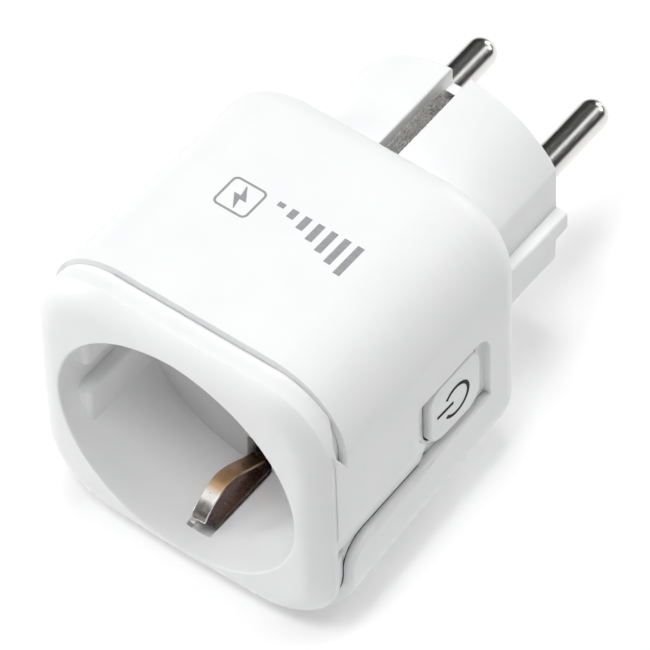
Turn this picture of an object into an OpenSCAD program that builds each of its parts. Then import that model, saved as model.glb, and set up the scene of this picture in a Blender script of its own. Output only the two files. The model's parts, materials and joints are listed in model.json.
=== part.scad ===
// Plug-in power meter for a two-pin socket with side earth contacts.
// Origin: centre of the plug base's end face. +Y points into the wall outlet,
// +Z is the plain top side, +X is the side with the push button.

/* [Body] */
// Width and height of the housing over its long sides
body_w = 49; // [48.6:0.1:49.4]
// Length of the housing from the socket opening to its rear face
body_len = 46; // [45.5:0.5:48]
// Radius of the four long corners
corner_r = 12; // [11.5:0.5:12.5]
// Wall thickness at the front of the covers
wall = 1.4; // [1.2:0.1:1.5]
// How much narrower each side is at the rear than at the front
draft = 0.7; // [0.3:0.1:0.8]
// Radius around the rear edge of the covers
rear_edge_r = 4.5; // [3.5:0.5:5]
// How far the bottom cover stands out past the top cover at its front
bottom_proud = 0.7; // [0.4:0.1:0.8]
// Height of the seam between the covers, below the plug axis
seam_drop = 7.1; // [6.9:0.05:7.3]

/* [Socket] */
// Radius of the round recess for the plug
recess_r = 19.75; // [19.7:0.05:19.9]
// Depth of the recess
recess_depth = 17.5; // [17.5:0.1:17.8]
// Radius of the two pin holes in the recess floor
hole_r = 2.75; // [2.6:0.05:2.9]
// Radius of the rounded edge around the bezel
bezel_edge_r = 4; // [3:0.5:4.3]
// How far the covers start behind the opening
lip_setback = 6; // [5.5:0.1:6.5]

/* [Plug] */
// Radius of the round plug base
base_r = 18.42; // [18.2:0.02:18.5]
// Length of the plug base in front of the rear face
base_len = 18.2; // [17.5:0.1:19]
// Distance of each pin from the plug axis
pin_x = 9.5; // [9.4:0.05:9.6]
// Radius of a pin
pin_r = 2.4; // [2.35:0.01:2.45]
// Length of a pin in front of the plug base
pin_len = 19.1; // [18.8:0.1:19.5]

/* [Button] */
// Size of the button along the housing
button_len = 11.2; // [11:0.1:11.6]
// Height of the button
button_h = 11.2; // [11:0.1:11.4]
// Distance that the button travels
button_travel = 0.5; // [0.3:0.1:0.5]

/* [Hidden] */

$fn = 64;
eps = 0.01;
far = 40;
half = body_w / 2;
open_y = -(body_len + base_len);

// Covers
cavity_half = half - wall;
rear_wall = 1.8;
cavity_end = body_len - rear_wall;
rear_half = half - draft;
cheek_setback = 3.6;
cheek_top = 9;
bottom_setback = 5.6;
groove_top = 2.2;
groove_depth = 1;
seam_gap = 0.08;
corner_steps = 8;

// Socket insert
bezel_half_w = 24.3;
bezel_half_h = cavity_half;
bezel_corner_r = 11.3;
cup_r = recess_r + 1.4;
floor_t = 2;
floor_back = recess_depth + floor_t;
skirt_half = cavity_half - 0.3;
skirt_end = 9;
pad_x = 17.5;
pad_front = 3.5;
pad_slot = 2.6;
clip_slot = 2;
clip_slot_front = 3.8;
clip_slot_floor = 14.5;

// Earth straps
strap_w = 2.3;
strap_t = 0.5;
strap_run = 17.6;
clip_hinge = 17.6;
strap_contact = 16.9;
plate_half = 1.8;
plate_front = 5.3;
plate_z = 19;
riser_front = clip_hinge + 0.2;
strap_end = body_len + base_len - 2.4;

// Plug base
flange_r = 20.5;
flange_t = 1.4;
flange_front = cavity_end - 0.1 - flange_t;
base_hollow_r = 14.4;
boss_r = 4.3;
pin_root_r = 2.8;
pin_tail_r = 1.5;
pin_root_len = 14;
pin_tail_out = 0.8;
flat_x = 15.98;
rib_x = 17.9;
rib_half = 1.6;
channel_half = 1.6;
channel_floor = 16.3;
channel_mouth = 3.4;
mouth_floor = 15.2;

// Button and its board
button_y = 30.3;
cap_face = half - draft * 0.85;
cap_r = 2.8;
cap_gap = 0.3;
pocket_depth = 1.15;
pocket_floor = cap_face - pocket_depth;
boss_face = pocket_floor - 1;
cap_flange_t = 0.5;
cap_back = boss_face - cap_gap - cap_flange_t;
switch_top = cap_back - button_travel - 0.3;
switch_h = 1.5;
stem_r = 1.1;
side_board_t = 1;
side_board_x = switch_top - switch_h - side_board_t;

// Shutter
pivot_r = 1.5;
pivot_fit = 0.05;
rotor_front = floor_back + 0.4;
rotor_t = 1.4;
arm_half = 2.9;
arm_len = 13;
retainer_front = rotor_front + rotor_t + 0.7;
retainer_t = 0.8;
post_x = 8;
post_z = 11;
spring_x = 3.6;
spring_r = 1.0;
spring_wire = 0.17;
spring_low = -9.6;
spring_high = -arm_half - 0.3;
spring_turns = 5;

// Contacts
carrier_front = retainer_front + retainer_t + 0.1;
carrier_back = 33;
contact_front = 23.4;
contact_back = 34;
contact_in_r = 2.3;
contact_out_r = 2.85;

// Main board
board_front = 41;
board_t = 1.6;
board_half = 21.4;
board_screw_x = 16;
pilot_r = 0.8;
screw_bite = 0.06;

white_c = "white";
metal_c = "silver";
brass_c = "goldenrod";
board_c = "darkgreen";
dark_c = "dimgray";

// ---- helpers ----

// Place along Y of a point that lies d behind the socket opening
function at(d) = open_y + d;

// Points of one rounded corner, starting at angle start
function corner(cx, cz, r, start) =
    [for (i = [0:corner_steps]) [cx + r * cos(start + 90 * i / corner_steps),
                                 cz + r * sin(start + 90 * i / corner_steps)]];

// Outline of a rounded rectangle in X and Z
function outline(hw, hh, r) = concat(
    corner(hw - r, hh - r, r, 0), corner(r - hw, hh - r, r, 90),
    corner(r - hw, r - hh, r, 180), corner(hw - r, r - hh, r, 270));

// Solid through rounded outlines; each station is [d, half width, half height, corner radius]
module loft(stations) {
    n = 4 * (corner_steps + 1);
    last = len(stations) - 1;
    points = [for (s = stations) for (p = outline(s[1], s[2], s[3])) [p[0], at(s[0]), p[1]]];
    sides = [for (k = [0:last - 1]) for (i = [0:n - 1])
        [k * n + i, k * n + (i + 1) % n, (k + 1) * n + (i + 1) % n, (k + 1) * n + i]];
    front = [for (i = [0:n - 1]) n - 1 - i];
    back = [for (i = [0:n - 1]) last * n + i];
    polyhedron(points, concat(sides, [front, back]), convexity = 4);
}

// 2D shape drawn in X and Z, from d0 to d1 behind the opening
module prism_y(d0, d1) translate([0, at(d1), 0]) rotate([90, 0, 0]) linear_extrude(d1 - d0) children();

// 2D shape drawn in Y and Z, from x0 to x1
module prism_x(x0, x1) translate([x0, 0, 0]) rotate([90, 0, 90]) linear_extrude(x1 - x0) children();

// Cylinder along Y, from d0 to d1 behind the opening
module rod_y(r, d0, d1, x = 0, z = 0)
    translate([x, at(d0), z]) rotate([-90, 0, 0]) cylinder(h = d1 - d0, r = r);

// Cylinder along X
module rod_x(r, x0, x1, d, z) translate([x0, at(d), z]) rotate([0, 90, 0]) cylinder(h = x1 - x0, r = r);

// Cylinder along Z
module rod_z(r, z0, z1, x, d) translate([x, at(d), z0]) cylinder(h = z1 - z0, r = r);

// Box given by its limits in x, d behind the opening, and z
module block(x, d, z) translate([x[0], at(d[0]), z[0]]) cube([x[1] - x[0], d[1] - d[0], z[1] - z[0]]);

// Both halves of a shape that repeats on -X
module both_sides() {
    children();
    mirror([1, 0, 0]) children();
}

// Both halves of a shape that repeats on -Z
module top_and_bottom() {
    children();
    mirror([0, 0, 1]) children();
}

// ---- housing ----

// Stations of a cover's outside, proud by the given amount at its front
function cover_stations(start, proud) = [
    [start, half + proud, half, corner_r],
    [22, half + proud * 0.45 - draft * 0.4, half - draft * 0.4, corner_r],
    [38, half - draft * 0.9, half - draft * 0.9, corner_r],
    for (a = [0:22.5:90]) [body_len - rear_edge_r + rear_edge_r * sin(a),
        rear_half - rear_edge_r * (1 - cos(a)), rear_half - rear_edge_r * (1 - cos(a)),
        corner_r - rear_edge_r * (1 - cos(a))]];

// Inside of the two closed covers
module cavity() {
    loft([[0, cavity_half, cavity_half, corner_r - wall],
          [cavity_end, rear_half - 1.6, rear_half - 1.6, corner_r - 1.6]]);
}

// Round hole that the plug base passes through
module base_hole() rod_y(base_r + 0.08, cavity_end - 1, body_len + 1);

// Pocket around the button: drawn in Y and Z, open to the groove at its lower front corner
module pocket_shape() {
    front = at(21.9);
    back = at(38);
    polygon([[front, -0.9], [at(23.3), -2.6], [at(23.3), -seam_drop - 1], [back, -seam_drop - 1],
             [back, 2.9], [at(37), 5.2], [at(34.7), 6.2], [at(22.7), 6.2], [front, 5.4]]);
}

// Rounded rectangle in Y and Z around the button's centre
module button_shape(grow) {
    hw = button_len / 2 + grow;
    hh = button_h / 2 + grow;
    translate([at(button_y), 0]) polygon(outline(hw, hh, cap_r + grow));
}

module top_cover() color(white_c)
    difference() {
        union() {
            difference() {
                loft(cover_stations(cheek_setback, 0));
                cavity();
                base_hole();
                block([-far, far], [cheek_setback - 1, lip_setback], [cheek_top, far]);
                both_sides() groove_cut();
            }
            intersection() {
                prism_x(boss_face, pocket_floor + 0.5) button_shape(2);
                loft(cover_stations(cheek_setback, 0));
            }
        }
        block([-far, far], [0, body_len + 1], [-far, -seam_drop]);
        prism_x(pocket_floor, half + 1) pocket_shape();
        prism_x(boss_face - 1, half + 1) button_shape(cap_gap);
    }

// Wedge cut off the side wall above the seam, from the front to the button's pocket
module groove_cut() prism_y(cheek_setback - 1, 23.2)
    polygon([[half - groove_depth, -seam_drop - 1], [half - groove_depth, -seam_drop], [half, -groove_top],
             [half + 1, -groove_top], [half + 1, -seam_drop - 1]]);

module bottom_cover() color(white_c)
    difference() {
        loft(cover_stations(bottom_setback, bottom_proud));
        cavity();
        base_hole();
        block([-far, far], [0, body_len + 1], [-seam_drop - seam_gap, far]);
    }

// ---- socket ----

// Front frame with its rounded edge
module bezel() loft([
    for (a = [0:18:90]) [bezel_edge_r * (1 - cos(a)), bezel_half_w - bezel_edge_r * (1 - sin(a)),
        bezel_half_h - bezel_edge_r * (1 - sin(a)), bezel_corner_r - bezel_edge_r * (1 - sin(a))],
    [lip_setback - 0.05, bezel_half_w, bezel_half_h, bezel_corner_r]]);

// Section of the recess with its two flat guides
module recess_shape() difference() {
    circle(recess_r);
    for (x = [-pad_x - far, pad_x], z = [-pad_slot - far, pad_slot]) translate([x, z]) square([far, far]);
}

// Outline of the skirt that locates the insert in the covers
module skirt_shape() polygon(outline(skirt_half, skirt_half, corner_r - wall - 0.3));

module socket_insert() color(white_c) {
    difference() {
        union() {
            bezel();
            difference() {
                prism_y(cheek_setback, skirt_end) skirt_shape();
                prism_y(lip_setback, skirt_end + 1) polygon(outline(skirt_half - 1.2, skirt_half - 1.2, 9));
            }
            rod_y(cup_r, cheek_setback, floor_back);
        }
        both_sides() block([cavity_half - 0.2, far], [cheek_setback - 0.05, far],
            [-seam_drop - 0.1, cheek_top + 0.1]);
        difference() {
            block([-far, far], [bottom_setback - 0.05, lip_setback], [-far, -seam_drop]);
            prism_y(cheek_setback, skirt_end) skirt_shape();
        }
        rod_y(recess_r, -1, pad_front);
        prism_y(pad_front - eps, recess_depth) recess_shape();
        for (x = [-pin_x, pin_x]) rod_y(hole_r, recess_depth - 1, floor_back + 1, x);
        top_and_bottom() block([-clip_slot, clip_slot], [clip_slot_front, floor_back + 1],
            [clip_slot_floor, skirt_half - 1]);
    }
    rod_y(pivot_r, floor_back - 0.5, retainer_front);
    for (s = [-1, 1]) difference() {
        rod_y(1.8, floor_back - 0.5, retainer_front, s * post_x, s * post_z);
        rod_y(pilot_r, floor_back, retainer_front + 1, s * post_x, s * post_z);
    }
    block([spring_x - 1.4, spring_x + 1.4], [floor_back - 0.5, retainer_front],
        [spring_low - 1.5, spring_low - 0.1]);
}

// ---- shutter ----

module shutter_rotor() color("gainsboro")
    difference() {
        union() {
            rod_y(3.4, rotor_front, rotor_front + rotor_t);
            block([-arm_len, arm_len], [rotor_front, rotor_front + rotor_t], [-arm_half, arm_half]);
        }
        rod_y(pivot_r + pivot_fit, rotor_front - 1, rotor_front + rotor_t + 1);
    }

// Wire coil along Z, swept by rings of six points
module shutter_spring() color(metal_c) {
    sides = 6;
    rings = spring_turns * 10;
    rise = spring_high - spring_low - 2 * spring_wire;
    points = [for (i = [0:rings]) for (j = [0:sides - 1])
        let (turn = 360 * spring_turns * i / rings, a = 360 * j / sides, r = spring_r + spring_wire * cos(a))
        [spring_x + r * cos(turn), at(rotor_front + rotor_t / 2) + r * sin(turn),
         spring_low + spring_wire + rise * i / rings + spring_wire * sin(a)]];
    skin = [for (i = [0:rings - 1]) for (j = [0:sides - 1])
        [i * sides + j, (i + 1) * sides + j, (i + 1) * sides + (j + 1) % sides, i * sides + (j + 1) % sides]];
    first = [for (j = [0:sides - 1]) j];
    last = [for (j = [0:sides - 1]) rings * sides + sides - 1 - j];
    polyhedron(points, concat(skin, [first, last]), convexity = 8);
}

module shutter_retainer() color("gainsboro")
    difference() {
        rod_y(16, retainer_front, retainer_front + retainer_t);
        for (x = [-pin_x, pin_x]) rod_y(hole_r + 0.3, retainer_front - 1, retainer_front + retainer_t + 1, x);
        for (s = [-1, 1])
            rod_y(1, retainer_front - 1, retainer_front + retainer_t + 1, s * post_x, s * post_z);
    }

module retainer_screws() color(metal_c)
    for (s = [-1, 1]) {
        back = retainer_front + retainer_t;
        rod_y(pilot_r + screw_bite, floor_back + 0.3, back + 0.1, s * post_x, s * post_z);
        difference() {
            rod_y(1.6, back, back + 1.1, s * post_x, s * post_z);
            block([s * post_x - 1, s * post_x + 1], [back + 0.6, back + 2],
                [s * post_z - 0.2, s * post_z + 0.2]);
        }
    }

// ---- line contacts ----

module contact_carrier() color(dark_c)
    difference() {
        block([-13.6, 13.6], [carrier_front, carrier_back], [-4.6, 4.6]);
        for (x = [-pin_x, pin_x]) rod_y(contact_out_r + 0.2, carrier_front - 1, carrier_back + 1, x);
        block([-strap_w, strap_w], [carrier_front - 1, carrier_front + 2], [-5, 5]);
        block([-5.2, 5.2], [carrier_front + 3.5, carrier_back + 1], [-3.4, 3.4]);
    }

// Split sleeve that grips a pin, with a tail to the main board
module contact(x) {
    difference() {
        union() {
            rod_y(contact_out_r, contact_front, contact_back, x);
            block([x - 2, x + 2], [contact_back - 1, board_front - pin_tail_out - 0.02], [-0.4, 0.4]);
        }
        rod_y(contact_in_r, contact_front - 1, contact_back - 1, x);
        block([x - 0.35, x + 0.35], [contact_front - 1, contact_back - 1.5], [-far, far]);
    }
}

module contact_line() color(brass_c) contact(pin_x);
module contact_neutral() color(brass_c) contact(-pin_x);

// ---- earth ----

// Middle lines of clip and strap, as distance behind the opening and height above the axis
clip_path = [[4.15, 17.35], [4.8, 16.5], [6.1, 15.5], [7.6, 14.8], [8.8, 14.3], [10, 14.25],
             [11.9, 14.85], [15.2, 16.6], [clip_hinge - 0.3, strap_run]];
strap_path = [[riser_front, strap_run], [45, strap_run], [47.6, strap_contact],
              [strap_end - 1.6, strap_contact], [strap_end - 0.5, strap_contact - 0.4],
              [strap_end, strap_contact - 1.1]];

// Unit vector across the path at point i
function across(p, i) =
    let (a = p[max(i - 1, 0)], b = p[min(i + 1, len(p) - 1)], v = b - a) [-v[1], v[0]] / norm(v);

// Band of the given thickness along a path
function band(p, t) = concat(
    [for (i = [0:len(p) - 1]) p[i] + across(p, i) * t / 2],
    [for (i = [len(p) - 1:-1:0]) p[i] - across(p, i) * t / 2]);

// Strip as wide as the strap, bent along a path
module strip(path)
    prism_x(-strap_w / 2, strap_w / 2) polygon([for (p = band(path, strap_t)) [at(p[0]), p[1]]]);

// Spring clip that presses on the plug's side contact; it bends about its rear end
module earth_clip() {
    strip(clip_path);
    block([-0.8, -0.1], [3.3, 4.6], [17.3, 17.8]);
}

module earth_clip_top() color(brass_c) earth_clip();
module earth_clip_bottom() color(brass_c) mirror([0, 0, 1]) earth_clip();

// Strap along the housing, with a plate in the slot that the clip bends toward
module earth_strap() {
    strip(strap_path);
    block([-plate_half, plate_half], [plate_front, riser_front + 0.7], [plate_z, plate_z + 0.4]);
    block([-1, 1], [riser_front + 0.1, riser_front + 0.6], [strap_run, plate_z + 0.2]);
}

module earth_strap_top() color(brass_c) earth_strap();
module earth_strap_bottom() color(brass_c) mirror([0, 0, 1]) earth_strap();

module earth_bridge() color(metal_c) {
    block([-strap_w / 2, strap_w / 2], [carrier_front + 0.3, carrier_front + 0.9],
        [-strap_run + strap_t / 2, strap_run - strap_t / 2]);
    top_and_bottom() block([-strap_w / 2, strap_w / 2], [carrier_front + 0.3, carrier_front + 3.3],
        [strap_run - strap_t / 2 - 0.6, strap_run - strap_t / 2]);
}

// ---- plug ----

// Part of the base that the two side flats take away
module flats_cut() both_sides() difference() {
    block([flat_x, far], [body_len, body_len + base_len + 1], [-far, far]);
    block([flat_x - 1, rib_x], [body_len - 1, body_len + base_len + 2], [-rib_half, rib_half]);
}

module plug_base() color(white_c) {
    end = body_len + base_len;
    difference() {
        union() {
            rod_y(base_r, flange_front + 0.2, end);
            rod_y(flange_r, flange_front, flange_front + flange_t);
        }
        flats_cut();
        difference() {
            rod_y(base_hollow_r, flange_front - 1, end - 3);
            for (x = [-pin_x, pin_x]) rod_y(boss_r, flange_front - 2, end - 2, x);
        }
        top_and_bottom() {
            block([-channel_half, channel_half], [flange_front - 1, end - channel_mouth + 1],
                [channel_floor, far]);
            block([-channel_half, channel_half], [end - channel_mouth, end + 1], [mouth_floor, far]);
        }
        for (x = [-pin_x, pin_x]) rod_y(pin_root_r + 0.02, flange_front - 1, end + 1, x);
        for (x = [-board_screw_x, board_screw_x]) rod_y(pilot_r, flange_front - 1, flange_front + 2.8, x);
    }
}

// Solid pin: domed tip, shank, root held in the base, tail through the main board
module pin(x) {
    base = body_len + base_len;
    shank_end = base + pin_len - pin_r;
    rod_y(pin_r, base, shank_end, x);
    intersection() {
        translate([x, at(shank_end), 0]) sphere(pin_r);
        rod_y(pin_r + 1, shank_end, shank_end + pin_r + 1, x);
    }
    rod_y(pin_root_r, base - pin_root_len, base, x);
    rod_y(pin_tail_r, board_front - pin_tail_out, base - pin_root_len, x);
}

module line_pin() color(metal_c) pin(pin_x);
module neutral_pin() color(metal_c) pin(-pin_x);

// ---- button ----

module button_cap() color("whitesmoke") {
    prism_x(cap_back, cap_face) button_shape(0);
    prism_x(cap_back, cap_back + cap_flange_t) button_shape(1);
}

module switch_stem() color(dark_c) rod_x(stem_r, cap_back - 1.3, cap_back, button_y, 0);

module tact_switch() color(metal_c)
    difference() {
        block([switch_top - switch_h, switch_top], [button_y - 2.6, button_y + 2.6], [-2.6, 2.6]);
        rod_x(stem_r + pivot_fit, switch_top - 1.2, switch_top + 1, button_y, 0);
    }

module button_board() color(board_c) block([side_board_x, side_board_x + side_board_t], [22.5, 38], [-8, 8]);

module board_link() color(brass_c)
    for (z = [-5:2.5:5])
        block([side_board_x + 0.2, side_board_x + 0.8], [38, board_front], [z - 0.3, z + 0.3]);

module status_led() color("lightgreen")
    block([side_board_x + side_board_t, side_board_x + side_board_t + 0.7], [25.2, 26.8], [5, 5.9]);

// ---- electronics ----

module main_board() color(board_c)
    difference() {
        prism_y(board_front, board_front + board_t) polygon(outline(board_half, board_half, 9.5));
        top_and_bottom() block([-2, 2], [board_front - 1, board_front + board_t + 1], [strap_run - 0.8, far]);
        for (x = [-pin_x, pin_x]) rod_y(pin_tail_r + 0.1, board_front - 1, board_front + board_t + 1, x);
        for (x = [-board_screw_x, board_screw_x]) rod_y(1.1, board_front - 1, board_front + board_t + 1, x);
    }

module board_screws() color(metal_c)
    for (x = [-board_screw_x, board_screw_x]) {
        rod_y(pilot_r + screw_bite, board_front - 0.5, flange_front + 2.5, x);
        difference() {
            rod_y(1.5, board_front - 1.2, board_front, x);
            block([x - 1, x + 1], [board_front - 2, board_front - 0.7], [-0.2, 0.2]);
            block([x - 0.2, x + 0.2], [board_front - 2, board_front - 0.7], [-1, 1]);
        }
    }

module relay() color("royalblue") {
    block([-20.6, -3.1], [28.5, board_front - 0.6], [6.4, 16.4]);
    block([-20.2, -3.5], [board_front - 0.6, board_front], [6.8, 16]);
}

module power_transformer() color("khaki") {
    block([-15.5, -5.5], [30, 39], [-16.5, -7.5]);
    for (x = [-16.3, -5.5]) block([x, x + 0.8], [29.6, board_front], [-17, -7]);
    block([-12.5, -8.5], [29, 40], [-17.3, -6.7]);
}

module bulk_capacitor() color("midnightblue") {
    rod_y(4, 28.6, board_front, 8.2, 11.6);
    rod_y(3.6, 28.2, 28.6, 8.2, 11.6);
}

module output_capacitor() color("midnightblue") {
    rod_y(2.5, 32.4, board_front, 15.6, 13.4);
    rod_y(2.2, 32, 32.4, 15.6, 13.4);
}

module varistor() color("steelblue") {
    rod_x(4.5, 3.2, 6.4, 35.6, -11);
    for (z = [-13.5, -8.5]) rod_y(0.4, 36, board_front, 4.8, z);
}

module fuse() color("tan") {
    rod_z(1.8, -15.8, -7.2, 9.6, 38.4);
    for (z = [-15, -8]) rod_y(0.4, 38.4, board_front, 9.6, z);
}

module current_shunt() color(metal_c) {
    block([12.6, 14.8], [38.6, 39.3], [-14, -6]);
    for (z = [-14, -6.7]) block([12.6, 14.8], [38.6, board_front], [z, z + 0.7]);
}

module metering_chip() color("black") block([-2, 2], [39.4, board_front], [-3, 3]);

module radio_module() color("teal") {
    block([3.5, 17], [24.6, board_front], [-19.2, -18.4]);
    block([4.5, 16], [29, 39.4], [-18.4, -17]);
}

socket_insert();
top_cover();
bottom_cover();
plug_base();
line_pin();
neutral_pin();
button_cap();
switch_stem();
tact_switch();
button_board();
board_link();
status_led();
shutter_rotor();
shutter_spring();
shutter_retainer();
retainer_screws();
contact_carrier();
contact_line();
contact_neutral();
earth_clip_top();
earth_clip_bottom();
earth_strap_top();
earth_strap_bottom();
earth_bridge();
main_board();
board_screws();
relay();
power_transformer();
bulk_capacitor();
output_capacitor();
varistor();
fuse();
current_shunt();
metering_chip();
radio_module();
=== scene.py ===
import json
import math

import bmesh
import bpy
import numpy as np
from mathutils import Matrix, Vector


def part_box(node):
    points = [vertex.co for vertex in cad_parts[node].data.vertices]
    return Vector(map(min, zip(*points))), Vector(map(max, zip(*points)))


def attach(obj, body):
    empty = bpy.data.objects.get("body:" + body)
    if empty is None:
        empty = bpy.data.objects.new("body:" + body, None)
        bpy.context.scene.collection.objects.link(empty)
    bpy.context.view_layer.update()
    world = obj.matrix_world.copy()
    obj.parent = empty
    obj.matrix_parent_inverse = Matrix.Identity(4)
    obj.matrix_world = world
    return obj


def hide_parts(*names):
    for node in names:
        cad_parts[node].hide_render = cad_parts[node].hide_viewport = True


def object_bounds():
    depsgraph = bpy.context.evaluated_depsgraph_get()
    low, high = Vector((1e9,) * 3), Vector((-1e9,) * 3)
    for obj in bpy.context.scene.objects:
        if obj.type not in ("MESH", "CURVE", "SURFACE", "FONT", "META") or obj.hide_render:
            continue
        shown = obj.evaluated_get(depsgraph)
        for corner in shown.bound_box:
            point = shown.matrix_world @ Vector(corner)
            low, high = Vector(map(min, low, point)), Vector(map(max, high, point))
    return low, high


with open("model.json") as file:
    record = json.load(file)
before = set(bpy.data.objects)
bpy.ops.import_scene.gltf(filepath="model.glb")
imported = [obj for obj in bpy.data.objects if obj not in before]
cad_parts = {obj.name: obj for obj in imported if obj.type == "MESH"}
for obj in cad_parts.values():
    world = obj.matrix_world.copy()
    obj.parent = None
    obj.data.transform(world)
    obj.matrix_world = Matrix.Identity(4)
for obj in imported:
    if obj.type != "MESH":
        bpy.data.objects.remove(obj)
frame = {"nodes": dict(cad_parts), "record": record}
SIZE_AT_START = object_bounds()

# ---- sizes ----
# Lengths are in millimetres: x across, d behind the socket opening, z up.

MM = 0.001
OPEN_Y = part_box("socket_insert")[0][1]
GRID = 0.27

# Covers: half width outside and inside, depth outside and inside, and the plug's end face
HALF, WALL_IN = 24.5, 23.1
BODY, WALL_END, END = 46.0, 44.2, 64.2
CORNER, WALL_CORNER, REAR_ROUND = 12.0, 10.5, 4.5
# How far the walls lean in toward the rear, outside and inside
DRAFT, DRAFT_END, WALL_DRAFT = 0.7, 43, 0.9
# The top cover's front lip, and its slanted end: top, slope, and the scale that keeps it a distance
LIP_FRONT, LIP_BACK = 3.6, 6
STEP_TOP, STEP_SLOPE, STEP_SCALE = 10.7, 1.8, 2.06
# The seam between the covers, where it turns down at the front, and its gap, which narrows toward the rear
SEAM, SEAM_FRONT, SEAM_ROUND = -7.1, 5.6, 4.5
GAP_OPEN, GAP_TIGHT, GAP_CHANGE = 0.22, 0.04, 35.5
# The groove above the seam, with the scale that keeps it a distance, and how far back it runs on either side
GROOVE_TOP, GROOVE_HEIGHT, GROOVE_SLOPE, GROOVE_SCALE = -2.2, 4.9, 0.204, 0.98
GROOVE_RIGHT, GROOVE_LEFT = 37, 22
# The button and its pocket
BUTTON_D, CAP_HALF, CAP_CORNER, CAP_CROWN = 30.3, 5.6, 2.8, 0.0028
CAP_FACE = HALF - 0.85 * DRAFT
POCKET_X = CAP_FACE - 1.15
POCKET_START, POCKET_END, POCKET_TOP = 21.9, 38, 6.2
CAP_FLANGE = 0.5
CAP_BACK = POCKET_X - 1 - 0.3 - CAP_FLANGE
# The bezel: half width, corner and soft edge, and how its face falls back outside the recess
BEZEL_HALF, BEZEL_CORNER, BEZEL_EDGE = 24.3, 11.3, 4.9
CROWN, CROWN_FROM = 0.0015, 390
# The recess, its two flat guides, the cup and skirt round it, and what stands on its floor
WELL_R, WELL_DEPTH = 19.75, 17.5
GUIDE_X, GUIDE_GAP, GUIDE_START = 17.5, 2.6, 3.5
CUP_R, CUP_END = 21.15, 19.5
SKIRT_HALF, SKIRT_IN, SKIRT_END = 22.88, 21.6, 9
PIN_X, HOLE_R = 9.5, 2.75
STUB_R, POST_R, POST_X, POST_Z, POST_END = 1.5, 1.8, 8, 11, 22
PILOT_R, PILOT_FROM = 0.8, 19.6
# Slots for the earth clips: half width, and their reach above and below the axis
SLOT_HALF, SLOT_LOW, SLOT_HIGH = 2, 14.5, 21.7
# The plug base and the channels for its side contacts
BASE_R, RIM_R, RIM_FRONT, RIM_REAR = 18.42, 20.5, 42.7, 44.1
SIDE_FLAT, RIB_HALF, RIB_X = 15.98, 1.6, 17.9
BASE_HOLE_R, BASE_IN, BOSS_R, ROOT_HOLE_R = 18.5, 14.4, 4.3, 2.82
SCREW_X, SCREW_END = 16, 45.5
CHANNEL_HALF, CHANNEL_FLOOR, MOUTH_FLOOR, FOOT_D = 1.6, 16.3, 15.2, 60.9
# The shutter
ARM_LENGTH, ARM_HALF, ROTOR_FRONT, ROTOR_BACK = 13, 2.9, 19.9, 21.3
# Middle line of an earth clip: distance behind the opening and height above the axis
CLIP = [(4.15, 17.35), (4.8, 16.5), (6.1, 15.5), (7.6, 14.8), (8.8, 14.3), (10, 14.25), (11.9, 14.85),
        (15.2, 16.6), (17.3, 17.6)]
CLIP_T, CLIP_HALF = 0.25, 1.15

# ---- distance fields: negative inside ----


def both(a, b, r=0.0):
    """Where both fields are inside, with the edge between them rounded."""
    return np.minimum(np.maximum(a, b), -r) + np.hypot(np.maximum(a + r, 0), np.maximum(b + r, 0))


def either(a, b, r=0.0):
    return -both(-a, -b, r)


def without(a, b, r=0.0):
    return both(a, -b, r)


def all_of(*fields):
    out = fields[0]
    for f in fields[1:]:
        out = np.maximum(out, f)
    return out


def any_of(*fields):
    out = fields[0]
    for f in fields[1:]:
        out = np.minimum(out, f)
    return out


def rect(u, v, hu, hv, r):
    """Rounded rectangle about the origin."""
    qu, qv = np.abs(u) - hu + r, np.abs(v) - hv + r
    return np.minimum(np.maximum(qu, qv), 0) + np.hypot(np.maximum(qu, 0), np.maximum(qv, 0)) - r


def ring(x, z, r, cx=0.0, cz=0.0):
    return np.hypot(x - cx, z - cz) - r


def span(v, a, b):
    return np.maximum(a - v, v - b)


def ramp(v, a, b):
    """0 before a, 1 after b."""
    return np.clip((v - a) / (b - a), 0, 1)


def fade(v, a, b):
    """1 before a, 0 after b."""
    return ramp(-v, -b, -a)


# ---- the housing's fields ----


def taper(d):
    return DRAFT * ramp(d, LIP_FRONT, DRAFT_END)


def cover_outside(x, d, z, proud):
    """Outside of both covers; the sides of the lower one stand proud toward the front."""
    half = HALF - taper(d)
    outline = rect(x, z, half + proud * fade(d, SEAM_FRONT, POCKET_END), half, CORNER)
    return both(outline, d - BODY, REAR_ROUND)


def cover_inside(x, d, z):
    """The hollow, with the round opening for the plug base in the rear wall."""
    half = WALL_IN - WALL_DRAFT * d / WALL_END
    hollow = np.maximum(rect(x, z, half, half, WALL_CORNER), d - WALL_END)
    return either(hollow, both(ring(x, z, BASE_HOLE_R), 40 - d))


def below_step(d, z):
    """Under the slanted end of the front lip."""
    return (z - STEP_TOP + STEP_SLOPE * (d - LIP_BACK)) / STEP_SCALE


def seam_gap(d):
    """The gap between the covers: open beside the groove, tight behind the button."""
    return GAP_OPEN - (GAP_OPEN - GAP_TIGHT) * ramp(d, GAP_CHANGE, POCKET_END)


def bottom_side(d, z):
    return both(z - SEAM + seam_gap(d) / 2, SEAM_FRONT - d, SEAM_ROUND)


def button_outline(d, z, grow):
    return rect(d - BUTTON_D, z, CAP_HALF + grow, CAP_HALF + grow, CAP_CORNER + grow)


def pocket(x, d, z):
    """Open downward to the seam; its front edge lies further back in the lower part."""
    front = POCKET_START + 1.4 * fade(z, -2.6, -0.9)
    front_part = both(front - d, z - POCKET_TOP, 0.9)
    rear_part = both(d - POCKET_END, z - POCKET_TOP, 3.3)
    return both(np.maximum(front_part, rear_part), POCKET_X - x, 0.12)


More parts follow.
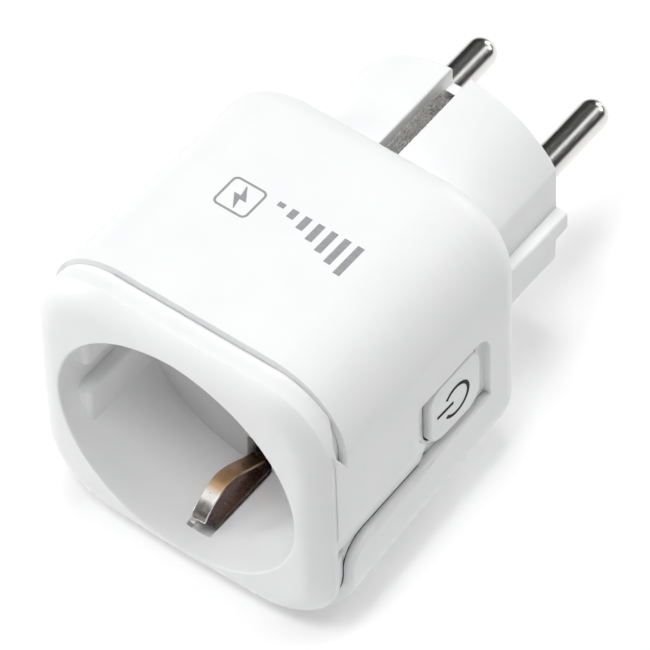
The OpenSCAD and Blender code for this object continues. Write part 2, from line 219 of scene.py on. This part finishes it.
def top_cover(x, d, z):
    side = np.abs(x) - (HALF - taper(d))
    right, left = fade(d, GROOVE_RIGHT, GROOVE_RIGHT + 1), fade(d, GROOVE_LEFT, GROOVE_LEFT + 2)
    groove = GROOVE_SLOPE * np.clip(GROOVE_TOP - z, 0, GROOVE_HEIGHT) * np.where(x > 0, right, left)
    skin = both(cover_outside(x, d, z, 0), (side + groove) * GROOVE_SCALE)
    lip = both(LIP_FRONT - d, below_step(d, z), 0.08)
    seam = both(seam_gap(d) - bottom_side(d, z), either(SEAM + seam_gap(d) / 2 - z, SEAM_FRONT + 0.05 - d))
    shell = both(np.maximum(skin, seam), either(LIP_BACK - d, lip, 0.05), 0.1)
    shell = np.maximum(shell, -cover_inside(x, d, z))
    boss = all_of(button_outline(d, z, 2), span(x, POCKET_X - 1, POCKET_X + 0.5), skin)
    body = without(np.minimum(shell, boss), pocket(x, d, z), 0.15)
    return without(body, np.maximum(button_outline(d, z, 0.3), POCKET_X - 2 - x), 0.1)


def bottom_cover(x, d, z):
    """Its upper edge has a wide rounding in the front part and a tight one at the corner and the rear."""
    edge = 0.12 + 1.1 * ramp(d, 6.6, 11) - ramp(d, 21, 25) - 0.19 * ramp(d, GAP_CHANGE, POCKET_END)
    skin = both(cover_outside(x, d, z, 0.7), bottom_side(d, z), edge)
    return np.maximum(skin, -cover_inside(x, d, z))


def well(x, d, z):
    """The recess for the plug, with the two flat guides behind its mouth."""
    edge = 0.9
    guides = either(np.abs(x) - GUIDE_X, np.abs(z) - GUIDE_GAP, edge)
    return all_of(ring(x, z, WELL_R), either(d - GUIDE_START, guides, edge), d - WELL_DEPTH)


def at_posts(x, z, r):
    """Two rounds, one upper right and one lower left."""
    return ring(np.sign(x * z) * np.abs(x), np.abs(z), r, POST_X, POST_Z)


def bezel(x, d, z):
    """The soft-edged frame round the recess, cut back beside the covers and at the end of the front lip."""
    side = rect(x, z, BEZEL_HALF, WALL_IN, BEZEL_CORNER)
    crown = CROWN * np.maximum(x * x + z * z - CROWN_FROM, 0)
    bevel = 0.9 * ramp(d, 3.7, SEAM_FRONT) * fade(z, -8.5, -5.5)
    face = np.maximum(both(side - 0.7, crown - d, BEZEL_EDGE), side + bevel)
    plate = both(face, d - np.where(z < SEAM, 5.5, 5.97), 0.04)
    cheek = all_of(22.95 - np.abs(x), 3.57 - d, SEAM - 0.1 - z, below_step(d, z) - 0.02)
    ledge_front = 4.3 + 1.7 * ramp(z, 16, 19)
    ledge = all_of(ledge_front - d, -rect(x, z, 23.0, 23.6, 10.6), -below_step(d, z), z - 19)
    return without(np.maximum(plate, -cheek), ledge, 0.12)


def socket_insert(x, d, z):
    skirt_hollow = all_of(rect(x, z, SKIRT_IN, SKIRT_IN, 9), LIP_BACK - d)
    skirt = all_of(rect(x, z, SKIRT_HALF, SKIRT_HALF, 10.4), span(d, LIP_FRONT, SKIRT_END), -skirt_hollow)
    cup = np.maximum(ring(x, z, CUP_R), span(d, LIP_FRONT, CUP_END))
    spring_seat = np.maximum(span(x, 2.2, 5), span(z, -11.1, -9.7))
    posts = any_of(ring(x, z, STUB_R), at_posts(x, z, POST_R), spring_seat)
    posts = np.maximum(posts, span(d, CUP_END - 0.5, POST_END))
    body = without(any_of(bezel(x, d, z), skirt, cup, posts), well(x, d, z), 0.3)
    pilots = np.maximum(at_posts(x, z, PILOT_R), PILOT_FROM - d)
    holes = np.minimum(np.maximum(ring(np.abs(x), z, HOLE_R, PIN_X), 10 - d), pilots)
    slots = all_of(np.abs(x) - SLOT_HALF, span(np.abs(z), SLOT_LOW, SLOT_HIGH), 3.8 - d)
    return without(without(body, holes, 0.15), slots, 0.06)


def plug_base(x, d, z):
    r, across, up = np.hypot(x, z), np.abs(x), np.abs(z)
    flat = all_of(SIDE_FLAT - across, -both(up - RIB_HALF, across - RIB_X, 0.35), BODY - 0.02 - d)
    body = both(without(r - BASE_R, flat, 0.25), d - END, 0.6)
    body = np.maximum(body, RIM_FRONT - d)
    body = np.minimum(body, np.maximum(r - RIM_R, span(d, RIM_FRONT, RIM_REAR)))
    bosses = np.maximum(ring(across, z, BOSS_R, PIN_X), RIM_FRONT - 1 - d)
    hollow = all_of(r - BASE_IN, -bosses, d - END + 3)
    roots = ring(across, z, ROOT_HOLE_R, PIN_X)
    screws = np.maximum(ring(across, z, PILOT_R, SCREW_X), d - SCREW_END)
    channel = all_of(across - CHANNEL_HALF, CHANNEL_FLOOR - up, d - FOOT_D)
    mouth = all_of(across - CHANNEL_HALF, MOUTH_FLOOR - up, FOOT_D - 0.1 - d)
    crack = all_of(span(across, CHANNEL_HALF - 0.2, CHANNEL_HALF), 15.6 - up, span(d, 44.5, FOOT_D))
    cuts = any_of(hollow, roots, screws, crack)
    return without(without(body, np.minimum(channel, mouth), 0.12), cuts)


def button_cap(x, d, z):
    face = CAP_FACE - CAP_CROWN * ((d - BUTTON_D) ** 2 + z * z)
    cap = both(np.maximum(button_outline(d, z, 0), CAP_BACK - x), x - face, 0.45)
    flange = np.maximum(button_outline(d, z, 1), span(x, CAP_BACK, CAP_BACK + CAP_FLANGE))
    return np.minimum(cap, flange)


def shutter_rotor(x, d, z):
    arms = np.minimum(ring(x, z, 3.4), rect(x, z, ARM_LENGTH, ARM_HALF, 0.8))
    return without(both(arms, span(d, ROTOR_FRONT, ROTOR_BACK), 0.2), ring(x, z, 1.55), 0.1)


def smooth_line(points, steps=5):
    """A Catmull-Rom curve through the points."""
    p = np.array([points[0], *points, points[-1]], float)
    out = []
    for a, b, c, e in zip(p, p[1:], p[2:], p[3:]):
        slope, bend, twist = c - a, 2 * a - 5 * b + 4 * c - e, 3 * b - a - 3 * c + e
        for t in np.arange(steps) / steps:
            out.append(0.5 * (2 * b + slope * t + bend * t**2 + twist * t**3))
    return np.array(out + [p[-1]])


def near_line(d, z, line):
    """Distance to a line of straight stretches."""
    best = None
    for (d0, z0), (d1, z1) in zip(line, line[1:]):
        ex, ez = d1 - d0, z1 - z0
        t = np.clip(((d - d0) * ex + (z - z0) * ez) / (ex * ex + ez * ez), 0, 1)
        far = np.hypot(d - d0 - t * ex, z - z0 - t * ez)
        best = far if best is None else np.minimum(best, far)
    return best


CLIP_LINE = smooth_line(CLIP)


def clip(x, d, z):
    """The bent leaf, with a small tab at its free end."""
    up = np.abs(z)
    leaf = both(near_line(d, up, CLIP_LINE) - CLIP_T, np.abs(x) - CLIP_HALF, 0.1)
    leaf = np.maximum(leaf, d - CLIP[-1][0])
    tab = all_of(span(x, -0.8, -0.1), span(d, 3.3, 4.6), span(up, 17.3, 17.8))
    return either(leaf, tab, 0.1)


# ---- meshing ----

TINY = 1e-9


def unit(rows, tiny=TINY):
    return rows / (np.linalg.norm(rows, axis=1)[:, None] + tiny)


def gradient(field, p, step=0.01):
    cols = []
    for k in range(3):
        e = np.zeros(3)
        e[k] = step
        a, b = p + e, p - e
        cols.append((field(a[:, 0], a[:, 1], a[:, 2]) - field(b[:, 0], b[:, 1], b[:, 2])) / (2 * step))
    return np.stack(cols, 1)


def sample(field, lo, n, h, slab=24):
    """The field's values on a grid, some layers at a time."""
    ax = [lo[k] + h * np.arange(n[k]) for k in range(3)]
    v = np.empty(n)
    for i in range(0, n[0], slab):
        part = field(ax[0][i:i + slab, None, None], ax[1][None, :, None], ax[2][None, None, :])
        v[i:i + slab] = np.broadcast_to(part, v[i:i + slab].shape)
    return v


def crossings(v, a, lo, h):
    """Where the field changes sign along axis a: the points, and the four cells round each."""
    n = np.array(v.shape)
    inside = v < 0
    near, far = [slice(None)] * 3, [slice(None)] * 3
    near[a], far[a] = slice(0, -1), slice(1, None)
    idx = np.argwhere(inside[tuple(near)] != inside[tuple(far)])
    b, c = (a + 1) % 3, (a + 2) % 3
    idx = idx[(idx[:, b] > 0) & (idx[:, b] < n[b] - 1) & (idx[:, c] > 0) & (idx[:, c] < n[c] - 1)]
    step = np.zeros(3, int)
    step[a] = 1
    v0, v1 = v[tuple(idx.T)], v[tuple((idx + step).T)]
    corners = []
    for db, dc in ((0, 0), (1, 0), (1, 1), (0, 1)):
        cell = idx.copy()
        cell[:, b] -= db
        cell[:, c] -= dc
        corners.append(np.ravel_multi_index(tuple(cell.T), n - 1))
    return lo + h * (idx + (v0 / (v0 - v1))[:, None] * step), corners, v0 < 0


def contour(field, lo, hi, h, pull=0.06):
    """Quads on the field's zero surface, with a corner placed on each sharp edge."""
    lo, hi = np.array(lo, float) - 1.5 * h, np.array(hi, float) + 1.5 * h
    n = np.ceil((hi - lo) / h).astype(int) + 1
    v = sample(field, lo, n, h)
    where, points, quads = [], [], []
    for a in range(3):
        pos, corners, forward = crossings(v, a, lo, h)
        quad = np.stack(corners, 1)
        quads.append(np.where(forward[:, None], quad, quad[:, ::-1]))
        where += corners
        points += [pos] * 4
    quads = np.concatenate(quads)
    where, points = np.concatenate(where), np.concatenate(points)
    used, slot_of = np.unique(where, return_inverse=True)
    g = unit(gradient(field, points, h * 0.02))

    def total(w):
        return np.bincount(slot_of, w, len(used))

    # Each cell's corner is the point that fits the surface's tangent planes best.
    count = total(np.ones(len(points)))
    mean = np.stack([total(points[:, k]) for k in range(3)], 1) / count[:, None]
    away = (g * (points - mean[slot_of])).sum(1)
    ata = np.empty((len(used), 3, 3))
    for i in range(3):
        for j in range(3):
            ata[:, i, j] = total(g[:, i] * g[:, j])
    ata += np.eye(3) * pull
    atb = np.stack([total(g[:, k] * away) for k in range(3)], 1)
    move = np.linalg.solve(ata, atb[..., None])[..., 0]
    middle = lo + h * (np.stack(np.unravel_index(used, n - 1), 1) + 0.5)
    return np.clip(mean + move, middle - 0.5 * h, middle + 0.5 * h), np.searchsorted(used, quads)


def to_world(p):
    return np.stack([p[:, 0], p[:, 1] + OPEN_Y / MM, p[:, 2]], 1) * MM


def link_mesh(name, mesh):
    obj = bpy.data.objects.new(name, mesh)
    bpy.context.scene.collection.objects.link(obj)
    return obj


def new_object(name, verts, faces):
    mesh = bpy.data.meshes.new(name)
    mesh.from_pydata(verts.tolist(), [], faces.tolist())
    mesh.update()
    return link_mesh(name, mesh)


def thinned(obj, keep):
    """The object's mesh as triangles, with the share of them that is kept."""
    obj.modifiers.new("thin", "DECIMATE").ratio = keep
    obj.modifiers.new("split", "TRIANGULATE")
    done = bpy.data.meshes.new_from_object(obj.evaluated_get(bpy.context.evaluated_depsgraph_get()))
    obj.modifiers.clear()
    return done


def onto_field(field, p, longest=0.08, close=0.004):
    """Moves points onto the zero surface, unless they are already close to it."""
    for _ in range(2):
        f = field(p[:, 0], p[:, 1], p[:, 2])
        g = gradient(field, p)
        move = -g * (f / ((g * g).sum(1) + 1e-6))[:, None]
        size = np.linalg.norm(move, axis=1)[:, None]
        p = p + move * np.minimum(1, longest / (size + TINY)) * (size > close)
    return p


def corner_normals(field, p, corner, inward=0.07, agree=0.6):
    """The field's slope just inside each corner of each triangle; the flat normal where the two disagree."""
    tri = corner.reshape(-1, 3)
    toward = np.repeat(p[tri].mean(1), 3, axis=0) - p[corner]
    length = np.linalg.norm(toward, axis=1)[:, None]
    normal = unit(gradient(field, p[corner] + toward * np.minimum(0.5, inward / (length + TINY))))
    flat = unit(np.cross(p[tri[:, 1]] - p[tri[:, 0]], p[tri[:, 2]] - p[tri[:, 0]]), 1e-12)
    flat = np.repeat(flat, 3, axis=0)
    bad = (normal * flat).sum(1) < agree
    normal[bad] = flat[bad]
    return normal


def field_object(name, field, lo, hi, h, keep):
    """A mesh of the field, thinned out where it is flat and shaded by the field's own slope."""
    obj = new_object(name, *contour(field, lo, hi, h))
    obj.data = done = thinned(obj, keep)
    p = np.empty(len(done.vertices) * 3)
    done.vertices.foreach_get("co", p)
    p = onto_field(field, p.reshape(-1, 3))
    corner = np.empty(len(done.loops), int)
    done.loops.foreach_get("vertex_index", corner)
    normal = corner_normals(field, p, corner)
    done.vertices.foreach_set("co", to_world(p).ravel())
    done.polygons.foreach_set("use_smooth", np.ones(len(done.polygons), bool))
    done.update()
    done.normals_split_custom_set(normal.tolist())
    return obj


def lathe(name, profile, cx, sides=64):
    """A turned piece along Y; profile is a list of (radius, distance past the plug's end face)."""
    angles = np.arange(sides) * 2 * math.pi / sides
    verts = [(cx + r * math.cos(t), END + y, r * math.sin(t)) for r, y in profile for t in angles]
    rows = [k * sides for k in range(len(profile))]
    faces = []
    for low, high in zip(rows, rows[1:]):
        for i, nxt in enumerate([*range(1, sides), 0]):
            faces.append((low + i, high + i, high + nxt, low + nxt))
    faces += [tuple(range(sides)), tuple(rows[-1] + i for i in reversed(range(sides)))]
    mesh = bpy.data.meshes.new(name)
    mesh.from_pydata(to_world(np.array(verts)).tolist(), [], faces)
    mesh.polygons.foreach_set("use_smooth", np.ones(len(mesh.polygons), bool))
    mesh.update()
    mesh.set_sharp_from_angle(angle=math.radians(35))
    return link_mesh(name, mesh)


def ink(name, bands, place, above=0.02, below=-0.06):
    """Thin printed shapes. Each band is (one side's points, the other side's points, closed)."""
    verts, faces = [], []
    for left, right, closed in bands:
        k, n = len(verts), len(left)
        for lift in (above, below):
            verts += [place(u, v, lift) for u, v in left] + [place(u, v, lift) for u, v in right]
        for i in range(n if closed else n - 1):
            a, b, c, e = i, (i + 1) % n, n + (i + 1) % n, n + i
            top = [k + a, k + b, k + c, k + e]
            low = [2 * n + t for t in top]
            faces += [top, low[::-1], [top[1], top[0], low[0], low[1]], [top[3], top[2], low[2], low[3]]]
        if not closed:
            last = k + n - 1
            faces += [[k, k + n, k + 3 * n, k + 2 * n], [last + n, last, last + 2 * n, last + 3 * n]]
    obj = new_object(name, to_world(np.array(verts)), np.array(faces))
    bm = bmesh.new()
    bm.from_mesh(obj.data)
    bmesh.ops.recalc_face_normals(bm, faces=bm.faces)
    bm.to_mesh(obj.data)
    bm.free()
    return obj


# ---- materials ----

MATS = {}


def node(tree, kind, links=(), **values):
    """A new shader node; links is a list of (input, a socket to link or a value to set)."""
    made = tree.nodes.new(kind)
    for key, value in values.items():
        setattr(made, key, value)
    for key, value in links:
        if isinstance(value, bpy.types.NodeSocket):
            tree.links.new(value, made.inputs[key])
        else:
            made.inputs[key].default_value = value
    return made


def material(name, colour, other, rough, metal=0.0, grain=900.0, bump=0.0, fine=6000.0, stretch=(1, 1, 1),
             **extra):
    """A surface that drifts between two colours over patches, with a fine grain in its gloss and relief."""
    mat = MATS[name] = bpy.data.materials.new(name)
    mat.use_nodes = True
    tree = mat.node_tree
    shader = tree.nodes["Principled BSDF"]
    shader.inputs["Metallic"].default_value = metal
    for key, value in extra.items():
        shader.inputs[key.replace("_", " ")].default_value = value
    where = node(tree, "ShaderNodeTexCoord").outputs["Object"]
    where = node(tree, "ShaderNodeMapping", [("Vector", where), ("Scale", stretch)]).outputs["Vector"]
    patches = node(tree, "ShaderNodeTexNoise", [("Vector", where), ("Scale", grain), ("Detail", 3.0)])
    mix = node(tree, "ShaderNodeValToRGB", [("Fac", patches.outputs["Fac"])])
    first, second = mix.color_ramp.elements
    first.position, second.position = 0.35, 0.65
    first.color, second.color = (*colour, 1), (*other, 1)
    tree.links.new(mix.outputs["Color"], shader.inputs["Base Color"])
    spots = node(tree, "ShaderNodeTexNoise", [("Vector", where), ("Scale", fine), ("Detail", 2.0)])
    gloss = node(tree, "ShaderNodeMapRange", [
        ("Value", spots.outputs["Fac"]), ("From Min", 0.3), ("From Max", 0.7),
        ("To Min", rough * 0.88), ("To Max", min(1, rough * 1.12))])
    tree.links.new(gloss.outputs["Result"], shader.inputs["Roughness"])
    if bump:
        relief = node(tree, "ShaderNodeBump", [("Height", spots.outputs["Fac"]), ("Strength", bump),
                                               ("Distance", 0.00002)])
        tree.links.new(relief.outputs["Normal"], shader.inputs["Normal"])
    return mat


def metal(name, colour, other, rough, **extra):
    material(name, colour, other, rough, 1.0, **extra)


def circuit_board():
    """Green board: tracks under the mask show as lighter cells."""
    mat = material("circuit_board", (0.01, 0.12, 0.035), (0.015, 0.17, 0.05), 0.4, grain=700, bump=0.1)
    tree = mat.node_tree
    where = node(tree, "ShaderNodeTexCoord").outputs["Object"]
    cells = node(tree, "ShaderNodeTexBrick", [
        ("Vector", where), ("Scale", 180.0), ("Mortar Size", 0.03), ("Color1", (0.012, 0.14, 0.04, 1)),
        ("Color2", (0.016, 0.18, 0.055, 1)), ("Mortar", (0.05, 0.30, 0.11, 1))])
    tree.links.new(cells.outputs["Color"], tree.nodes["Principled BSDF"].inputs["Base Color"])


def front_tone(name, tone, start, end):
    """Gives a material another colour at the socket end; it ends between start and end behind the opening."""
    tree = MATS[name].node_tree
    base = tree.nodes["Principled BSDF"].inputs["Base Color"]
    old = base.links[0].from_socket
    where = node(tree, "ShaderNodeTexCoord").outputs["Object"]
    along = node(tree, "ShaderNodeSeparateXYZ", [("Vector", where)]).outputs["Y"]
    part = node(tree, "ShaderNodeMapRange", [("Value", along), ("From Min", OPEN_Y + start * MM),
                                             ("From Max", OPEN_Y + end * MM)])
    mix = node(tree, "ShaderNodeMix", data_type="RGBA")
    tree.links.new(part.outputs["Result"], mix.inputs["Factor"])
    mix.inputs["A"].default_value = (*tone, 1)
    tree.links.new(old, mix.inputs["B"])
    tree.links.new(mix.outputs["Result"], base)


material("white_plastic", (0.88, 0.885, 0.89), (0.90, 0.902, 0.905), 0.42, grain=120, bump=0.12)
material("button_plastic", (0.86, 0.865, 0.87), (0.88, 0.882, 0.885), 0.36, grain=150, bump=0.08)
material("inner_plastic", (0.66, 0.67, 0.67), (0.70, 0.70, 0.69), 0.45, grain=200, bump=0.1)
material("dark_plastic", (0.03, 0.03, 0.032), (0.045, 0.045, 0.045), 0.5, grain=400, bump=0.1)
metal("pin_nickel", (0.70, 0.69, 0.68), (0.78, 0.77, 0.76), 0.24, grain=600, stretch=(1, 0.1, 1))
metal("strap_nickel", (0.50, 0.49, 0.47), (0.72, 0.71, 0.69), 0.28, grain=1500, bump=0.3,
      stretch=(1, 0.35, 1))
metal("brass", (0.72, 0.50, 0.20), (0.80, 0.60, 0.28), 0.25, grain=500, bump=0.1)
metal("steel", (0.55, 0.55, 0.56), (0.66, 0.66, 0.66), 0.3, grain=800, bump=0.1)
material("led_lens", (0.30, 0.62, 0.32), (0.40, 0.72, 0.40), 0.2)
material("relay_case", (0.02, 0.10, 0.34), (0.03, 0.13, 0.40), 0.35, grain=300, bump=0.1)
material("ferrite", (0.04, 0.038, 0.036), (0.07, 0.066, 0.06), 0.6, grain=1500, bump=0.3)
material("capacitor_sleeve", (0.012, 0.014, 0.05), (0.02, 0.022, 0.07), 0.3, grain=500)
material("varistor_coating", (0.03, 0.16, 0.42), (0.05, 0.20, 0.48), 0.4, bump=0.2)
material("fuse_ceramic", (0.62, 0.58, 0.48), (0.70, 0.66, 0.56), 0.5, bump=0.2)
material("chip_epoxy", (0.015, 0.015, 0.016), (0.025, 0.025, 0.026), 0.55, grain=2000, bump=0.2)
metal("radio_shield", (0.62, 0.62, 0.60), (0.70, 0.70, 0.68), 0.3, bump=0.1)
material("grey_ink", (0.30, 0.31, 0.32), (0.34, 0.35, 0.36), 0.5, grain=1500)
# Black print for the power mark; also the painted shade in the gaps round the button and along the seam
material("black_print_and_gap_shade", (0.006, 0.006, 0.007), (0.01, 0.01, 0.011), 0.5, grain=1500, Specular_IOR_Level=0.1)
circuit_board()
metal("clip_bronze", (0.50, 0.30, 0.15), (0.66, 0.46, 0.30), 0.3, grain=500, fine=1500, stretch=(1, 0.5, 1))
front_tone("clip_bronze", (0.90, 0.87, 0.83), 7, 8)
front_tone("strap_nickel", (0.24, 0.18, 0.17), 22, 26)

# ---- pieces ----


def piece(obj, body, slot, *nodes, look=None):
    obj.data.materials.clear()
    obj.data.materials.append(MATS[look or slot])
    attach(obj, body)
    if nodes:
        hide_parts(*nodes)


# Node, field, the box it lies in, its grid against GRID, share of triangles kept, body, slot
FIELDS = [
    ("top_cover", top_cover, (-24.6, 3.5, -11.8), (24.6, 46.1, 24.6), 1.0, 0.12, "housing", "white_plastic"),
    ("bottom_cover", bottom_cover, (-25.3, 5.5, -24.6), (25.3, 46.1, -7), 1.0, 0.12,
     "housing", "white_plastic"),
    ("socket_insert", socket_insert, (-24.4, -0.1, -23.2), (24.4, 22.1, 23.2), 1.0, 0.14,
     "housing", "white_plastic"),
    ("plug_base", plug_base, (-20.6, 42.6, -20.6), (20.6, 64.3, 20.6), 1.0, 0.12, "housing", "white_plastic"),
    ("button_cap", button_cap, (20.9, 23.6, -6.7), (24.0, 37, 6.7), 0.5, 0.2, "button", "button_plastic"),
    ("shutter_rotor", shutter_rotor, (-13.1, 19.8, -3.5), (13.1, 21.4, 3.5), 0.9, 0.2,
     "shutter", "inner_plastic"),
    ("earth_clip_top", clip, (-1.2, 3.2, 13.9), (1.2, 17.4, 18.0), 0.28, 0.25, "clip_top", "clip_bronze"),
    ("earth_clip_bottom", clip, (-1.2, 3.2, -18.0), (1.2, 17.4, -13.9), 0.28, 0.25,
     "clip_bottom", "clip_bronze"),
]
for name, field, lo, hi, scale, keep, body, slot in FIELDS:
    piece(field_object(name + "_skin", field, lo, hi, GRID * scale, keep), body, slot, name)

# Pins: a thin tail and a thicker root inside the base, then the shank with a round end
PIN_R, PIN_SHANK, ROOT_R, TAIL_R = 2.4, 16.7, 2.8, 1.5
TAIL_END, ROOT_END = -24, -14
DOME = [(PIN_R * math.sin(t), PIN_SHANK + PIN_R * math.cos(t)) for t in np.linspace(math.pi / 2, 0.02, 14)]
PIN = [(TAIL_R, TAIL_END), (TAIL_R, ROOT_END), (ROOT_R, ROOT_END), (ROOT_R, 0), (PIN_R, 0)] + DOME
for name, side in (("line_pin", 1), ("neutral_pin", -1)):
    piece(lathe(name + "_turned", PIN, side * PIN_X), "housing", "pin_nickel", name)


def on_cap(u, v, lift):
    """A point on the button's face: u along the housing from the mark's centre, v up."""
    return CAP_FACE - CAP_CROWN * (u * u + v * v) + lift, BUTTON_D + 0.05 + u, v - 0.25


def in_button_gap(u, v, lift):
    return POCKET_X - 0.25 + lift, BUTTON_D + u, v


def on_top(u, v, lift):
    """A point on the top face: u to the right, v toward the front."""
    d = 25.5 - v
    return u, d, HALF - taper(d) + lift


def on_seam(side, groove_end):
    """Places points just under the covers' side, deeper where there is a groove."""
    def place(d, z, lift):
        r = CORNER - 1 + ramp(d, groove_end, groove_end + 2)
        corner = HALF - CORNER
        return side * (corner - taper(d) + math.sqrt(r * r - min(z + corner, 0) ** 2) + lift), d, z
    return place


def arc(r, start, end, n=40):
    return [(r * math.cos(t), r * math.sin(t)) for t in np.linspace(start, end, n)]


def rounded_square(half, r, cx=0.0):
    return [(cx + sx * (half - r) + r * math.cos(t + q), sy * (half - r) + r * math.sin(t + q))
            for sx, sy, q in ((1, 1, 0), (-1, 1, math.pi / 2), (-1, -1, math.pi), (1, -1, 1.5 * math.pi))
            for t in np.linspace(0, math.pi / 2, 7)]


def upright(left, foot, width, top):
    """One bar of the mark, as a band."""
    return [(left, foot), (left, top)], [(left + width, foot), (left + width, top)], False


def power_mark():
    """An open ring with a bar through the opening."""
    opening = math.radians(38)
    sweep = (math.pi - opening, opening - math.pi)
    bar = (-4.2, -2.4, -0.65)
    return [(arc(2.97, *sweep), arc(2.37, *sweep), False),
            ([(u, 0.3) for u in bar], [(u, -0.3) for u in bar], False)]


def top_mark():
    """A bolt in a rounded square and seven bars of rising height."""
    cx, foot, bar_w, pitch, rise = -7.8, -2.6, 1.1, 2.15, 0.81
    bolt_left = [(0.3, 2.0), (-1.2, -0.3), (-0.1, -0.3), (-0.45, -2.0)]
    bolt_right = [(0.45, 2.0), (0.1, 0.3), (1.2, 0.3), (-0.3, -2.0)]
    bands = [(rounded_square(2.8, 0.9, cx), rounded_square(2.45, 0.6, cx), True),
             ([(u + cx, v) for u, v in bolt_left], [(u + cx, v) for u, v in bolt_right], False)]
    return bands + [upright(-3.1 + pitch * i, foot, bar_w, foot + rise * (i + 1)) for i in range(7)]


def button_ring():
    inner, outer = 0.03, 0.29
    return [(rounded_square(CAP_HALF + outer, CAP_CORNER + outer),
             rounded_square(CAP_HALF + inner, CAP_CORNER + inner), True)]


def seam_line(grow, rear):
    """One edge of the seam, from the rear forward and round the bottom cover's front corner."""
    r = SEAM_ROUND + grow
    bend_d, bend_z = SEAM_FRONT + SEAM_ROUND, SEAM - SEAM_ROUND
    run = [(d, SEAM + grow * (1 - 0.9 * ramp(d, 23, POCKET_END))) for d in np.linspace(rear, 11, 14)]
    bend = [(bend_d - r * math.sin(t), bend_z + r * math.cos(t)) for t in np.linspace(0, math.pi / 2, 14)]
    return run + bend + [(SEAM_FRONT - grow, z) for z in np.linspace(-12.5, -22, 12)]


piece(ink("power_mark", power_mark(), on_cap), "button", "button_plastic", look="black_print_and_gap_shade")
# Painted shade: black strips in the gap round the button and in the seam beside the groove, standing in for
# the shade deep inside these gaps
piece(ink("button_gap_shade", button_ring(), in_button_gap), "housing", "white_plastic", look="black_print_and_gap_shade")
for name, side, rear, groove_end in (("seam_gap_shade_right", 1, 22.6, GROOVE_RIGHT),
                                     ("seam_gap_shade_left", -1, POCKET_END, GROOVE_LEFT)):
    # Each seam strip is painted shade inside the gap between the covers
    line = ink(name, [(seam_line(0.1, rear), seam_line(-0.1, rear), False)], on_seam(side, groove_end))
    piece(line, "housing", "white_plastic", look="black_print_and_gap_shade")
piece(ink("top_mark", top_mark(), on_top), "housing", "white_plastic", look="grey_ink")

# Nodes that keep their own mesh take the material of their slot.
for part in frame["record"]["subparts"]:
    obj = frame["nodes"][part["node"]]
    obj.data.materials.clear()
    obj.data.materials.append(MATS[part["material_slot"]])

# ---- studio: metres ----

FLOOR_HALF, FLOOR_GAP = 6, 0.0001
LIGHT_DISTANCE, LIGHT_SIZE = 0.9, 0.3
# Direction round the object (0 is the front, 90 the right), height in degrees, strength
LIGHTS = [("top", 0, 90, 2.35), ("top_front", 0, 65, 2.5), ("top_front_right", 30, 65, 0.6),
          ("top_rear_right", 120, 65, 0.6), ("rear_right", 150, 45, 0.3), ("low_rear_right", 150, 25, 1.0),
          ("rear", 180, 25, 1.2), ("low_rear", 180, 8, 0.3), ("left", 240, 65, 1.0),
          ("front_left", 300, 45, 0.8), ("low_front_left", 300, 8, 2.3)]


def direction(turn, rise):
    """From the object toward a place that far round it and that high; both in radians."""
    return Vector((math.sin(turn) * math.cos(rise), -math.cos(turn) * math.cos(rise), math.sin(rise)))


def aim(obj, spot, target=(0, -0.02, 0)):
    """Puts obj at a spot and turns its -Z toward the target."""
    away = Vector(spot) - Vector(target)
    obj.matrix_world = Matrix.Translation(spot) @ away.to_track_quat("Z", "Y").to_matrix().to_4x4()


def soft_light(name, turn, rise, power):
    data = bpy.data.lights.new(name, "AREA")
    data.shape, data.size, data.energy = "DISK", LIGHT_SIZE, power
    obj = bpy.data.objects.new(name, data)
    scene.collection.objects.link(obj)
    aim(obj, direction(math.radians(turn), math.radians(rise)).normalized() * LIGHT_DISTANCE)


def pale_floor():
    mesh = bpy.data.meshes.new("floor")
    corners = [(sx * FLOOR_HALF, sy * FLOOR_HALF, 0) for sx, sy in ((-1, -1), (1, -1), (1, 1), (-1, 1))]
    mesh.from_pydata(corners, [], [(0, 1, 2, 3)])
    floor = link_mesh("floor", mesh)
    floor.location.z = SIZE_AT_START[0][2] - FLOOR_GAP
    mesh.materials.append(material("paper", (0.84, 0.84, 0.84), (0.88, 0.88, 0.88), 0.7, grain=3, fine=40,
                                   Emission_Color=(1, 1, 1, 1), Emission_Strength=0.22))


def studio_walls():
    """Faint white walls with a dark patch up behind the right side."""
    world = bpy.data.worlds.new("studio")
    scene.world = world
    world.use_nodes = True
    tree = world.node_tree
    sky = tree.nodes["Background"]
    ray = node(tree, "ShaderNodeTexCoord").outputs["Generated"]
    toward = node(tree, "ShaderNodeVectorMath", [(0, ray), (1, (0.39, 0.49, 0.78))], operation="DOT_PRODUCT")
    shade = node(tree, "ShaderNodeValToRGB", [("Fac", toward.outputs["Value"])])
    first, second = shade.color_ramp.elements
    first.position, second.position = 0.80, 0.93
    first.color, second.color = (1, 1, 1, 1), (0.02, 0.02, 0.02, 1)
    tree.links.new(shade.outputs["Color"], sky.inputs["Color"])
    sky.inputs["Strength"].default_value = 0.02


scene = bpy.context.scene
scene.view_settings.view_transform = "Standard"
pale_floor()
studio_walls()
for light in LIGHTS:
    soft_light(*light)

# ---- camera: the photo's angle ----

TURN, RISE, ROLL = math.radians(38.81), math.radians(51.28), math.radians(-2.06)
CAMERA_SPOT = (0.3942, -0.5216, 0.7801)
back = direction(TURN, RISE)
level = Vector((math.cos(TURN), math.sin(TURN), 0))
above = back.cross(level)
right = level * math.cos(ROLL) + above * math.sin(ROLL)
up = above * math.cos(ROLL) - level * math.sin(ROLL)
lens = bpy.data.cameras.new("camera")
lens.lens, lens.sensor_width, lens.clip_start = 412, 36, 0.01
camera = bpy.data.objects.new("camera", lens)
scene.collection.objects.link(camera)
camera.matrix_world = Matrix.Translation(CAMERA_SPOT) @ Matrix((right, up, back)).transposed().to_4x4()
scene.camera = camera
